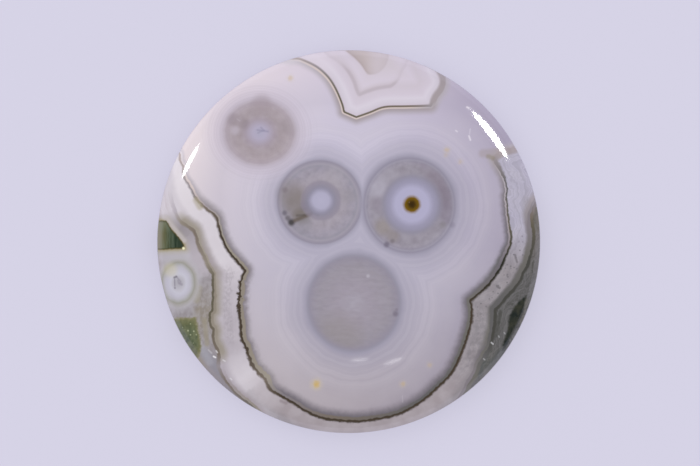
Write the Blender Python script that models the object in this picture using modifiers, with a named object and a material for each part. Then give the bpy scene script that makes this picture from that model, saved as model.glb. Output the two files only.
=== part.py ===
"""Round ocean jasper cabochon: one polished stone with a low dome, a narrow girdle and a flat back.

Metres, +Z up. The stone lies on its flat back with the dome facing +Z.
The origin is the centre of the back, where the stone rests.
"""

import math

import bpy

MM = 0.001

# Driving dimensions. The outline is a true circle, and the stone is widest where the girdle meets
# the back bevel.
GIRDLE_DIAMETER = 35.0 * MM
THICKNESS = 6.5 * MM
GIRDLE_HEIGHT = 1.8 * MM
BACK_BEVEL = 0.4 * MM
GIRDLE_LEAN = math.radians(5.0)  # the girdle leans in towards the dome, so that a bezel can close over it
DOME_ELLIPSE_RADIUS = 17.84 * MM  # the dome's section is an ellipse of this radius, cut off by the girdle

# Worked out from the dimensions above.
GIRDLE_RADIUS = GIRDLE_DIAMETER / 2
GIRDLE_TOP_Z = BACK_BEVEL + GIRDLE_HEIGHT
DOME_RADIUS = GIRDLE_RADIUS - GIRDLE_HEIGHT * math.tan(GIRDLE_LEAN)
DOME_HEIGHT = THICKNESS - GIRDLE_TOP_Z
DOME_LAST_TURN = math.asin(DOME_RADIUS / DOME_ELLIPSE_RADIUS)
DOME_ELLIPSE_RISE = DOME_HEIGHT / (1 - math.cos(DOME_LAST_TURN))

# Facets of the turned surface.
STEPS_AROUND = 96
DOME_STEPS = 18

# Chalcedony colour of the polished face, as linear red, green and blue.
STONE_COLOUR = (0.56, 0.54, 0.60, 1.0)
POLISH_ROUGHNESS = 0.08
QUARTZ_IOR = 1.54


def clear_scene():
    for obj in list(bpy.data.objects):
        bpy.data.objects.remove(obj, do_unlink=True)


def dome_profile():
    """Half of the dome's section, an elliptical arc from the apex down to the top of the girdle."""
    points = []
    for step in range(DOME_STEPS + 1):
        turn = DOME_LAST_TURN * step / DOME_STEPS
        radius = DOME_ELLIPSE_RADIUS * math.sin(turn)
        height = THICKNESS - DOME_ELLIPSE_RISE * (1 - math.cos(turn))
        points.append((radius, height))
    return points


def stone_profile():
    """The whole half section, from the apex down the outside to the centre of the back."""
    girdle_foot = (GIRDLE_RADIUS, BACK_BEVEL)
    back_rim = (GIRDLE_RADIUS - BACK_BEVEL, 0.0)
    back_centre = (0.0, 0.0)
    return [*dome_profile(), girdle_foot, back_rim, back_centre]


def polished_stone():
    material = bpy.data.materials.new("polished_jasper")
    material.use_nodes = True
    shader = material.node_tree.nodes["Principled BSDF"]
    shader.inputs["Base Color"].default_value = STONE_COLOUR
    shader.inputs["Metallic"].default_value = 0.0
    shader.inputs["Roughness"].default_value = POLISH_ROUGHNESS
    shader.inputs["IOR"].default_value = QUARTZ_IOR
    return material


def turned_stone(name, profile, material, collection):
    """A closed solid, turned about Z from a half section that runs down its outer side."""
    mesh = bpy.data.meshes.new(name)
    section = [(radius, 0.0, height) for radius, height in profile]
    edges = [(i, i + 1) for i in range(len(section) - 1)]
    mesh.from_pydata(section, edges, [])
    mesh.materials.append(material)
    stone = bpy.data.objects.new(name, mesh)
    collection.objects.link(stone)

    screw = stone.modifiers.new("turn", "SCREW")
    screw.axis = "Z"
    screw.angle = 2 * math.pi
    screw.steps = STEPS_AROUND
    screw.render_steps = STEPS_AROUND
    screw.use_merge_vertices = True
    screw.merge_threshold = 0.00001
    screw.use_smooth_shade = True
    return stone


def main():
    clear_scene()
    collection = bpy.data.collections.new("ocean_jasper_cabochon")
    bpy.context.scene.collection.children.link(collection)
    turned_stone("cabochon", stone_profile(), polished_stone(), collection)


main()
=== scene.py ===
"""A polished ocean jasper cabochon lying on its flat back, seen from straight above in soft studio light.

The stone is turned from its half section. Its banding is laid out in the photograph's pixels, where the
stone is 383 pixels across. Walls, contours and patches are distances to outlines, kept on the mesh as
attributes, and the material's layers turn those distances into colour.
"""

import math
from collections import namedtuple

import bmesh
import bpy
import numpy as np
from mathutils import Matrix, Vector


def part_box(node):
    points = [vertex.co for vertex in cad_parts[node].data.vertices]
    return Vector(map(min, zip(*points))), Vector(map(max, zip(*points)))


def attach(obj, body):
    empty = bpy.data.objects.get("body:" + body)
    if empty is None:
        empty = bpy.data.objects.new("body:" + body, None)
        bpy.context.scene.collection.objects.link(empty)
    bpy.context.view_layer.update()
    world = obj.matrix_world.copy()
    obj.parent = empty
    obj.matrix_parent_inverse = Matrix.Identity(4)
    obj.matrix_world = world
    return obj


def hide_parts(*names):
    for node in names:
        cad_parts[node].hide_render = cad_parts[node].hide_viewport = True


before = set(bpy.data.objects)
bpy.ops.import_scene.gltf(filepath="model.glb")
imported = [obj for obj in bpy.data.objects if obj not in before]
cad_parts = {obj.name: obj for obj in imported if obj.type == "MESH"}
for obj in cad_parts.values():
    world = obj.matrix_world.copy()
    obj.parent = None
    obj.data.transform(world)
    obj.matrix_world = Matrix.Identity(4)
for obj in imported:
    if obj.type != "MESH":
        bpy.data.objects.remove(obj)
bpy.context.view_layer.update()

# The stone's size, from the frame, in metres.
stone_low, stone_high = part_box("cabochon")
MM = 0.001
GIRDLE_RADIUS = (stone_high.x - stone_low.x) / 2
THICKNESS = stone_high.z - stone_low.z
GIRDLE_HEIGHT = 1.8 * MM
BACK_BEVEL = 0.4 * MM
GIRDLE_LEAN = math.radians(5.0)
GIRDLE_TOP_Z = BACK_BEVEL + GIRDLE_HEIGHT
DOME_RADIUS = GIRDLE_RADIUS - GIRDLE_HEIGHT * math.tan(GIRDLE_LEAN)
DOME_ELLIPSE_RADIUS = 17.84 * MM
DOME_LAST_TURN = math.asin(DOME_RADIUS / DOME_ELLIPSE_RADIUS)
DOME_ELLIPSE_RISE = (THICKNESS - GIRDLE_TOP_Z) / (1 - math.cos(DOME_LAST_TURN))

# Fineness of the turned mesh. A sector is spun first, then copied round.
SECTORS = 16
STEPS_PER_SECTOR = 32
DOME_RINGS = 122
GIRDLE_RINGS = 8
BEVEL_RINGS = 2
BACK_RINGS = 34

# The photograph's frame, and the stone's outline in it, in pixels.
PHOTO_SIZE = (700, 466)
STONE_CENTRE = (348.7, 241.6)
STONE_RADIUS = 191.5
PIXEL = GIRDLE_RADIUS / STONE_RADIUS

# The camera, straight above.
LENS_MM = 150.0
SENSOR_MM = 36.0
LENS_PIXELS = PHOTO_SIZE[0] * LENS_MM / SENSOR_MM
CAMERA_HEIGHT = BACK_BEVEL + LENS_PIXELS * PIXEL

# How the banding runs down into the stone, per pixel of depth below the dome.
BED_SLANT = (0.26, -0.2)
BED_SWAY = 0.22
WALL_FLARE = 0.18
ORB_SINKING = 0.55

# Outlines of the pattern, in the photograph's pixels. Each run is a smooth curve, and runs meet at kinks.
MAIN_WALL = [
    [(150, 112), (166, 130), (178.6, 150), (180.4, 160), (183.2, 167), (184.0, 176.6), (189.8, 186.6),
     (194.9, 197), (200.4, 203.8), (206.8, 209.8), (215.6, 217.2), (218.7, 229), (222.4, 240.4),
     (228.4, 252), (238.8, 264), (244.4, 270.6)],
    [(244.4, 270.6), (240.4, 281), (239.3, 291), (238.5, 309), (240.3, 322), (241.4, 338), (246.3, 348.4),
     (251.6, 364), (258.4, 372.7), (265, 379), (270, 389), (280, 395.6), (293, 403), (305.6, 411),
     (318.4, 416.7), (331, 419.3), (346.4, 420.8), (359, 421), (375.5, 419), (393.4, 415.4),
     (407.4, 409.6), (424, 399.4), (440, 384.8), (450, 374.8), (458.8, 359.3), (465.5, 342),
     (470.7, 325), (472.2, 312.5), (470.8, 301)],
    [(470.8, 301), (480, 293), (489, 284.7), (496, 275.5), (500.8, 268), (508, 252),
     (511.8, 240), (509.8, 223.5), (508, 211), (506.6, 197), (507.2, 188), (502.6, 174), (494, 159.5)],
    [(494, 159.5), (503, 153), (517, 149), (540, 141)],
]
CAP_WALL = [
    [(272, 52), (283, 58), (296.4, 58.4), (303.4, 60.1), (317.4, 67.1), (328.5, 77.3), (336.1, 89.4),
     (342.2, 104), (344, 111.8)],
    [(344, 111.8), (356.3, 117.1)],
    [(356.3, 117.1), (369.7, 112.4), (384.4, 107.0), (405, 106.3), (418, 106), (430.4, 105.5)],
    [(430.4, 105.5), (434.2, 96.1), (440, 88), (441.5, 79), (436, 67), (428, 50)],
]
LEFT_CONTOUR = [
    [(166, 150), (169, 175), (172, 195), (174.5, 207), (179.4, 219.6), (185, 224.4), (190.2, 228.4),
     (194, 231), (196.6, 238.6), (199.1, 247.5), (203.6, 255.8), (206.8, 264.2), (210.6, 271.2),
     (212.4, 274)],
    [(212.4, 274), (212, 281), (212.6, 290.6), (212.2, 303.3), (212.5, 310.4)],
    [(212.5, 310.4), (209.7, 313.5), (209.4, 319.3), (210.7, 325.5), (213.5, 330.6), (212.7, 338),
     (215.5, 345.9), (218.1, 351), (221, 361), (224.5, 374), (229, 382.5), (234.2, 389.3), (241, 396),
     (252, 405), (262, 415)],
]
RIGHT_CONTOUR = [
    [(541, 190), (535, 201), (530.5, 212), (529.8, 218), (532.2, 225), (533.6, 233.5), (533.2, 242),
     (530.2, 253.6), (527.4, 264), (522.6, 273), (519.4, 280.4), (512, 290.5), (506.5, 296.4),
     (499.8, 304.4), (495, 309.8)],
    [(495, 309.8), (494.7, 322.5), (493.6, 331.9), (491.6, 341.9), (489, 349), (482.5, 357.6),
     (476.6, 365), (472.2, 374), (466.8, 382), (463.4, 390), (455, 404)],
]
CAP_VEE = [
    [(322, 48), (329.5, 55.2), (335.9, 59), (344.2, 65.7), (350, 72.8), (354.4, 81), (357, 88.8),
     (359.4, 94)],
    [(359.4, 94), (366.5, 91), (376.1, 87.9), (385.7, 86.2), (391, 85.1), (397.2, 79.5), (401, 70.6),
     (404.8, 64.2), (409, 52)],
]
CAP_HEART = [
    [(340, 44), (345.5, 51.4), (354.2, 58.6), (360.7, 65.6), (365, 72), (367.8, 75.4)],
    [(367.8, 75.4), (376, 74.5), (383, 70), (388, 62), (392, 44)],
]
GREEN_WEDGE = [
    (146, 220), (166.5, 220.5), (171.5, 228.6), (178.5, 236.8), (183, 242.6), (185.2, 248.8),
    (175, 249), (162, 250), (146, 249.6),
]
GREEN_PATCH = [
    (160, 318.5), (196, 317.4), (197.4, 325), (199.4, 332), (200.6, 340), (201.4, 348), (199.4, 357),
    (190, 362), (160, 340),
]
DARK_PATCH = [
    (526.4, 296), (524.6, 303), (523, 313), (519.4, 320), (516, 328), (511.4, 336), (507.2, 344.4),
    (502.6, 351), (503.6, 342), (507, 333.2), (508.8, 325.2), (509.4, 317), (513.6, 308.6), (520, 301),
]

# The stone's colours, from its whitest chalcedony to its darkest seam.
WHITE = (228, 221, 227)
PEARL = (210, 203, 211)
BLUSH = (212, 197, 194)
ROSE = (188, 172, 166)
LILAC = (184, 179, 198)
DOVE = (182, 174, 183)
MAUVE = (165, 155, 160)
ASH = (150, 143, 148)
PEWTER = (134, 127, 133)
SLATE = (115, 109, 117)
KHAKI = (158, 150, 140)
DRAB = (144, 135, 124)
TAUPE = (122, 111, 102)
OLIVE = (100, 94, 80)
MOSS = (113, 110, 106)
STEEL = (100, 98, 99)
GRAPHITE = (74, 73, 69)
UMBER = (70, 60, 50)
SOOT = (44, 44, 37)
HALO = (154, 149, 168)

# What lies along a wall: a dark line, a pale or khaki filling, and a shade that fades. at is the way along
# the wall from 0 to 1, and the widths are pixels from the outline.
Seam = namedtuple("Seam", "at offset half lead line filling filling_end shade shade_end")
MAIN_SEAMS = [
    Seam(0.06, -0.3, 0.3, 1.5, ROSE, WHITE, 1.5, PEARL, 6.0),
    Seam(0.11, 0.3, 0.3, 2.5, ASH, BLUSH, 2.5, DOVE, 9.0),
    Seam(0.14, 0.7, 0.5, 3.0, TAUPE, MAUVE, 2.5, ASH, 12.0),
    Seam(0.18, 0.8, 0.5, 3.0, UMBER, KHAKI, 2.5, PEWTER, 12.0),
    Seam(0.25, 0.7, 0.6, 2.5, UMBER, DRAB, 4.0, PEWTER, 13.0),
    Seam(0.33, 0.4, 0.7, 2.5, UMBER, DRAB, 4.5, PEWTER, 13.0),
    Seam(0.38, 0.2, 0.9, 3.0, TAUPE, KHAKI, 5.0, ASH, 13.0),
    Seam(0.41, 0.4, 0.7, 2.0, UMBER, PEWTER, 3.0, SLATE, 13.0),
    Seam(0.48, -0.1, 0.6, 2.0, UMBER, TAUPE, 3.5, SLATE, 14.0),
    Seam(0.60, 0.0, 0.6, 2.5, UMBER, STEEL, 3.0, SLATE, 13.0),
    Seam(0.73, 0.5, 0.4, 2.5, UMBER, MOSS, 3.5, SLATE, 13.0),
    Seam(0.80, 0.6, 0.5, 2.5, SOOT, SLATE, 4.0, STEEL, 11.0),
    Seam(0.85, 0.7, 0.3, 1.5, OLIVE, MAUVE, 2.5, SLATE, 10.0),
    Seam(0.90, 0.2, 0.2, 1.5, STEEL, DOVE, 1.5, PEWTER, 9.0),
    Seam(0.945, 0.0, 1.5, 4.0, MAUVE, MAUVE, 2.5, DOVE, 10.0),
]
CAP_SEAMS = [
    Seam(0.05, 0.2, 0.4, 1.5, ROSE, PEARL, 2.0, PEARL, 9.0),
    Seam(0.20, 0.3, 0.4, 2.0, ASH, BLUSH, 2.5, DOVE, 10.0),
    Seam(0.35, 0.1, 0.4, 1.2, OLIVE, BLUSH, 1.7, MAUVE, 10.0),
    Seam(0.68, 0.0, 0.5, 1.0, TAUPE, BLUSH, 1.7, MAUVE, 11.0),
    Seam(0.75, 0.4, 0.5, 2.0, ASH, DOVE, 2.0, MAUVE, 11.0),
    Seam(0.78, 0.8, 1.0, 3.5, MAUVE, MAUVE, 3.5, DOVE, 12.0),
]
LEFT_SEAMS = [
    Seam(0.14, -0.6, 0.6, 3.0, PEARL, PEARL, 0.6, PEARL, 7.5),
    Seam(0.21, 0.0, 0.7, 3.0, DOVE, PEARL, 2.5, PEARL, 11.0),
    Seam(0.25, 0.2, 0.8, 2.5, DRAB, KHAKI, 3.0, KHAKI, 13.0),
    Seam(0.31, 0.3, 0.9, 1.8, TAUPE, KHAKI, 2.7, KHAKI, 12.5),
    Seam(0.42, 0.6, 0.9, 3.0, DRAB, KHAKI, 3.0, MAUVE, 13.0),
    Seam(0.48, 0.6, 0.7, 1.0, OLIVE, DRAB, 3.0, KHAKI, 13.0),
    Seam(0.60, 0.2, 0.6, 1.0, OLIVE, DRAB, 3.5, KHAKI, 13.0),
    Seam(0.74, 0.2, 1.0, 1.5, TAUPE, KHAKI, 4.0, KHAKI, 12.0),
    Seam(0.78, -3.3, 1.0, 3.0, ASH, DOVE, 1.0, DOVE, 11.0),
    Seam(0.84, -1.4, 0.4, 1.6, TAUPE, MAUVE, 1.6, DOVE, 11.0),
    Seam(0.95, -1.2, 0.6, 1.6, OLIVE, DRAB, 1.8, MAUVE, 8.0),
]
RIGHT_SEAMS = [
    Seam(0.05, -1.6, 1.0, 2.5, PEWTER, ASH, 1.5, MAUVE, 8.5),
    Seam(0.12, -1.6, 0.8, 2.0, TAUPE, PEWTER, 1.5, ASH, 10.0),
    Seam(0.16, 0.0, 1.0, 1.2, OLIVE, PEWTER, 4.8, PEWTER, 9.5),
    Seam(0.30, -0.5, 0.8, 1.5, GRAPHITE, MOSS, 4.0, MOSS, 8.0),
    Seam(0.52, -0.5, 0.9, 1.5, GRAPHITE, STEEL, 4.5, STEEL, 8.0),
    Seam(0.68, 0.4, 1.0, 2.5, GRAPHITE, STEEL, 4.0, MOSS, 10.0),
    Seam(0.76, -0.2, 1.0, 2.5, STEEL, MOSS, 3.5, SLATE, 9.0),
    Seam(0.85, -3.5, 1.2, 2.5, MOSS, PEWTER, 0.6, ASH, 7.0),
]

# The ground beside a wall, on its outer side: near it, and far out towards the rim.
Ground = namedtuple("Ground", "at near far")
MAIN_GROUND = [
    Ground(0.09, WHITE, WHITE),
    Ground(0.15, PEARL, DOVE),
    Ground(0.21, PEARL, DOVE),
    Ground(0.28, DOVE, DOVE),
    Ground(0.33, DOVE, DOVE),
    Ground(0.36, PEARL, PEARL),
    Ground(0.42, MAUVE, ASH),
    Ground(0.62, MAUVE, ASH),
    Ground(0.70, ASH, MOSS),
    Ground(0.80, ASH, SLATE),
    Ground(0.85, LILAC, PEWTER),
    Ground(0.90, LILAC, LILAC),
]
LEFT_GROUND = [
    Ground(0.12, PEARL, PEARL),
    Ground(0.20, PEARL, MAUVE),
    Ground(0.26, ASH, ASH),
    Ground(0.38, DOVE, MAUVE),
    Ground(0.44, DOVE, MAUVE),
    Ground(0.48, ASH, MAUVE),
    Ground(0.60, DRAB, ASH),
    Ground(0.72, ASH, DRAB),
    Ground(0.90, PEWTER, ASH),
]
RIGHT_GROUND = [
    Ground(0.08, TAUPE, MOSS),
    Ground(0.38, STEEL, MOSS),
    Ground(0.50, STEEL, GRAPHITE),
    Ground(0.70, STEEL, GRAPHITE),
    Ground(0.78, MOSS, STEEL),
    Ground(0.86, STEEL, GRAPHITE),
]

# The body's tint: its colour at the stone's centre, and how much it changes down the stone, out towards the
# right rim, where it darkens as it pales towards the left, and out towards the whole rim, where it warms.
BODY_CENTRE = (190, 185, 205)
BODY_DOWNWARD = (-20, -20, -25)
BODY_RIMWARD = (-40, -38, -26)
BODY_WARMTH = (0, -6, -16)


def linear_channels(colours):
    """Channels given as sRGB's 0 to 255, as the linear values that a shader takes."""
    share = np.clip(np.asarray(colours, float) / 255, 0, 1)
    return np.where(share <= 0.04045, share / 12.92, ((share + 0.055) / 1.055) ** 2.4)


def linear(colour, opacity=1.0):
    return (*(float(channel) for channel in linear_channels(colour)), opacity)


def smooth_run(points, steps=6):
    """A Catmull-Rom curve through a run of points."""
    p = np.array(points, float)
    if len(p) < 3:
        return p
    padded = np.vstack([2 * p[0] - p[1], p, 2 * p[-1] - p[-2]])
    t = (np.arange(steps) / steps)[:, None]
    curved = []
    for a, b, c, d in zip(padded, padded[1:], padded[2:], padded[3:]):
        bend = (2 * a - 5 * b + 4 * c - d) * t**2 + (3 * b - a - 3 * c + d) * t**3
        curved.append(0.5 * (2 * b + (c - a) * t + bend))
    return np.vstack([*curved, p[-1:]])


def smooth_line(runs):
    curves = [smooth_run(run) for run in runs]
    return np.vstack([curves[0], *[curve[1:] for curve in curves[1:]]])


def nearest(places, line):
    """Distance from each place to a line, and how far along the line the nearest point is, from 0 to 1."""
    x = places[:, 0].astype(np.float32)
    y = places[:, 1].astype(np.float32)
    legs = np.diff(line, axis=0)
    lengths = np.hypot(*legs.T)
    starts = np.concatenate([[0], np.cumsum(lengths)])
    squared = np.full(len(x), 1e9, np.float32)
    along = np.zeros(len(x), np.float32)
    for (x0, y0), (across, down), length, so_far in zip(line, legs, lengths, starts):
        dx = x - np.float32(x0)
        dy = y - np.float32(y0)
        share = np.clip((dx * np.float32(across) + dy * np.float32(down)) / np.float32(length**2), 0, 1)
        gap = (dx - share * np.float32(across)) ** 2 + (dy - share * np.float32(down)) ** 2
        closer = gap < squared
        squared[closer] = gap[closer]
        along[closer] = so_far + share[closer] * length
    return np.sqrt(squared), along / starts[-1]


def inside(places, outline):
    """Which places lie within a closed outline."""
    x, y = places[:, 0], places[:, 1]
    within = np.zeros(len(places), bool)
    for (x0, y0), (x1, y1) in zip(outline, np.roll(outline, -1, axis=0)):
        if y0 == y1:
            continue
        level = (y0 > y) != (y1 > y)
        within[level] ^= x[level] < x0 + (x1 - x0) * (y[level] - y0) / (y1 - y0)
    return within


def equal_steps(start, end, count):
    """Points after start, up to and with end."""
    return [tuple(a + (b - a) * step / count for a, b in zip(start, end)) for step in range(1, count + 1)]


def dome_height(radius):
    """The dome's height at a distance from its axis."""
    return THICKNESS - DOME_ELLIPSE_RISE * (1 - np.sqrt(1 - (radius / DOME_ELLIPSE_RADIUS) ** 2))


def dome_radii():
    """Distances from the axis of rings that lie at equal steps down the dome's arc."""
    fine = np.linspace(0, DOME_LAST_TURN, 4001)
    speed = np.hypot(DOME_ELLIPSE_RADIUS * np.cos(fine), DOME_ELLIPSE_RISE * np.sin(fine))
    arc = np.concatenate([[0], np.cumsum((speed[1:] + speed[:-1]) / 2 * np.diff(fine))])
    turns = np.interp(np.linspace(0, arc[-1], DOME_RINGS + 1), arc, fine)
    return DOME_ELLIPSE_RADIUS * np.sin(turns)


def stone_section():
    """The half section, from the apex down the outside to the centre of the back, as (radius, height)."""
    dome = [(float(radius), float(dome_height(radius))) for radius in dome_radii()]
    girdle_foot = (GIRDLE_RADIUS, BACK_BEVEL)
    back_rim = (GIRDLE_RADIUS - BACK_BEVEL, 0.0)
    girdle = equal_steps(dome[-1], girdle_foot, GIRDLE_RINGS)
    bevel = equal_steps(girdle_foot, back_rim, BEVEL_RINGS)
    back = equal_steps(back_rim, (0.0, 0.0), BACK_RINGS)
    return dome + girdle + bevel + back


def turned_stone():
    """The whole stone, spun about Z from its half section and closed at both poles."""
    bm = bmesh.new()
    section = [bm.verts.new((radius, 0.0, height)) for radius, height in stone_section()]
    edges = [bm.edges.new(pair) for pair in zip(section, section[1:])]
    axis = {"axis": (0, 0, 1), "cent": (0, 0, 0)}
    sector_turn = 2 * math.pi / SECTORS
    bmesh.ops.spin(bm, geom=section + edges, angle=sector_turn, steps=STEPS_PER_SECTOR, **axis)
    sector = bm.verts[:] + bm.edges[:] + bm.faces[:]
    rest = 2 * math.pi - sector_turn
    bmesh.ops.spin(bm, geom=sector, angle=rest, steps=SECTORS - 1, use_duplicate=True, **axis)
    bmesh.ops.remove_doubles(bm, verts=bm.verts, dist=0.002 * MM)
    bmesh.ops.recalc_face_normals(bm, faces=bm.faces)
    mesh = bpy.data.meshes.new("jasper_stone")
    bm.to_mesh(mesh)
    bm.free()
    mesh.shade_smooth()
    mesh.set_sharp_from_angle(angle=math.radians(30))
    stone = bpy.data.objects.new("jasper_stone", mesh)
    bpy.context.scene.collection.objects.link(stone)
    return stone


def vertex_places(mesh):
    """Each vertex in metres."""
    flat = np.zeros(len(mesh.vertices) * 3)
    mesh.vertices.foreach_get("co", flat)
    return flat.reshape(-1, 3)


def camera_place():
    """The camera stands where the stone's centre falls on its own pixel of the photograph."""
    right = (PHOTO_SIZE[0] / 2 - STONE_CENTRE[0]) * PIXEL
    up = (STONE_CENTRE[1] - PHOTO_SIZE[1] / 2) * PIXEL
    return (right, up, CAMERA_HEIGHT)


def pattern_places(points):
    """Each vertex's place in the banding: the photo's pixel above it, moved on with depth, and the depth."""
    spread = (CAMERA_HEIGHT - BACK_BEVEL) / (CAMERA_HEIGHT - points[:, 2])
    radius = np.minimum(np.hypot(points[:, 0], points[:, 1]), DOME_RADIUS)
    depth = np.maximum(0, dome_height(radius) - points[:, 2]) / PIXEL
    right, up, _ = camera_place()
    x = PHOTO_SIZE[0] / 2 + (points[:, 0] - right) * spread / PIXEL
    y = PHOTO_SIZE[1] / 2 - (points[:, 1] - up) * spread / PIXEL
    sway_x = BED_SWAY * np.sin(y * 0.023 + 0.9)
    sway_y = BED_SWAY * np.sin(x * 0.019 + 2.1)
    return np.stack([x + depth * (BED_SLANT[0] + sway_x), y + depth * (BED_SLANT[1] + sway_y), depth], axis=1)


def keep_number(mesh, name, values):
    attribute = mesh.attributes.new(name, "FLOAT", "POINT")
    attribute.data.foreach_set("value", values.astype(np.float32))


def keep_vector(mesh, name, values):
    attribute = mesh.attributes.new(name, "FLOAT_VECTOR", "POINT")
    attribute.data.foreach_set("vector", values.astype(np.float32).ravel())


def keep_colour(mesh, name, colours):
    channels = linear_channels(colours)
    attribute = mesh.attributes.new(name, "FLOAT_COLOR", "POINT")
    opaque = np.ones((len(channels), 1))
    attribute.data.foreach_set("color", np.hstack([channels, opaque]).astype(np.float32).ravel())


def read_along(along, stops, field):
    """A field of a wall's stops, eased from stop to stop along the wall."""
    at = [stop.at for stop in stops]
    values = np.array([getattr(stop, field) for stop in stops], float)
    if values.ndim == 1:
        return np.interp(along, at, values)
    return np.stack([np.interp(along, at, channel) for channel in values.T], axis=1)


def keep_contour(mesh, name, places, runs, closing, flare=0.0):
    """A contour's distance, positive on the side that closing encloses. Returns the way along it."""
    line = smooth_line(runs)
    distance, along = nearest(places, line)
    side = np.where(inside(places, np.vstack([line, closing])), 1.0, -1.0)
    keep_number(mesh, name, distance * side - flare * places[:, 2])
    return along


def keep_seams(mesh, name, along, seams):
    widths = [read_along(along, seams, field) for field in ("offset", "half", "lead")]
    ends = [read_along(along, seams, field) for field in ("filling_end", "shade_end")]
    keep_vector(mesh, name + "_widths", np.stack(widths, axis=1))
    keep_vector(mesh, name + "_ends", np.stack([*ends, 0 * along], axis=1))
    for field in ("line", "filling", "shade"):
        keep_colour(mesh, f"{name}_{field}", read_along(along, seams, field))


def keep_ground(mesh, name, along, grounds):
    for field in ("near", "far"):
        keep_colour(mesh, f"{name}_{field}", read_along(along, grounds, field))


def keep_patch(mesh, name, places, outline):
    """A closed patch's distance, positive inside."""
    closed = np.array([*outline, outline[0]], float)
    distance, _ = nearest(places, closed)
    side = np.where(inside(places, closed[:-1]), 1.0, -1.0)
    keep_number(mesh, name, distance * side)


def lay_out_pattern(stone):
    mesh = stone.data
    places = pattern_places(vertex_places(mesh))
    keep_vector(mesh, "pattern", places)

    across = (places[:, :1] - STONE_CENTRE[0]) / STONE_RADIUS
    down = (places[:, 1:2] - STONE_CENTRE[1]) / STONE_RADIUS
    outward = across**2 + down**2
    tint = np.array(BODY_CENTRE) + down * BODY_DOWNWARD + outward * BODY_WARMTH
    tint = tint + across * outward * BODY_RIMWARD
    keep_colour(mesh, "body_tint", tint)

    above = [(540, -200), (150, -200)]
    along = keep_contour(mesh, "main_wall", places, MAIN_WALL, above, WALL_FLARE)
    keep_seams(mesh, "main_wall", along, MAIN_SEAMS)
    keep_ground(mesh, "main_wall", along, MAIN_GROUND)

    along = keep_contour(mesh, "cap_wall", places, CAP_WALL, [(428, -200), (272, -200)])
    keep_seams(mesh, "cap_wall", along, CAP_SEAMS)

    right_of_it = [(262, 900), (900, 900), (900, -300), (166, -300)]
    along = keep_contour(mesh, "left_contour", places, LEFT_CONTOUR, right_of_it)
    keep_seams(mesh, "left_contour", along, LEFT_SEAMS)
    keep_ground(mesh, "left_contour", along, LEFT_GROUND)

    left_of_it = [(455, 900), (-300, 900), (-300, -300), (541, -300)]
    along = keep_contour(mesh, "right_contour", places, RIGHT_CONTOUR, left_of_it)
    keep_seams(mesh, "right_contour", along, RIGHT_SEAMS)
    keep_ground(mesh, "right_contour", along, RIGHT_GROUND)

    along = keep_contour(mesh, "cap_vee", places, CAP_VEE, [(409, -200), (322, -200)])
    keep_number(mesh, "cap_vee_along", along)
    keep_contour(mesh, "cap_heart", places, CAP_HEART, [(392, -200), (340, -200)])
    keep_patch(mesh, "green_wedge", places, GREEN_WEDGE)
    keep_patch(mesh, "green_patch", places, GREEN_PATCH)
    keep_patch(mesh, "dark_patch", places, DARK_PATCH)


def unwrap_stone(stone):
    """The dome and girdle as one disc and the back as a smaller one, on the diagonal of the unit square."""
    mesh = stone.data
    points = vertex_places(mesh)
    radius = np.hypot(points[:, 0], points[:, 1])
    turn = np.arctan2(points[:, 1], points[:, 0])
    section = np.array(stone_section()[: DOME_RINGS + GIRDLE_RINGS + BEVEL_RINGS + 1])
    arcs = np.concatenate([[0], np.cumsum(np.hypot(*np.diff(section, axis=0).T))])
    fall = np.arctan2(section[:, 0], section[:, 1] + THICKNESS)
    arc = np.interp(np.arctan2(radius, points[:, 2] + THICKNESS), fall, arcs)
    front_share = 0.395
    back_share = 0.17
    margin = 0.01
    corners = np.zeros(len(mesh.loops), np.int32)
    mesh.loops.foreach_get("vertex_index", corners)
    normals = np.zeros(len(mesh.polygons) * 3)
    mesh.polygons.foreach_get("normal", normals)
    sizes = np.zeros(len(mesh.polygons), np.int32)
    mesh.polygons.foreach_get("loop_total", sizes)
    on_back = np.repeat(normals[2::3] < -0.99, sizes)
    back_reach = back_share * radius[corners] / GIRDLE_RADIUS
    front_reach = front_share * arc[corners] / arcs[-1]
    reach = np.where(on_back, back_reach, front_reach)
    middle = np.where(on_back, 1 - margin - back_share, margin + front_share)
    spin = turn[corners]
    uv = np.stack([middle + reach * np.cos(spin), middle + reach * np.sin(spin)], axis=1)
    layer = mesh.uv_layers.new(name="OFBake")
    layer.data.foreach_set("uv", uv.astype(np.float32).ravel())


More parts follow.
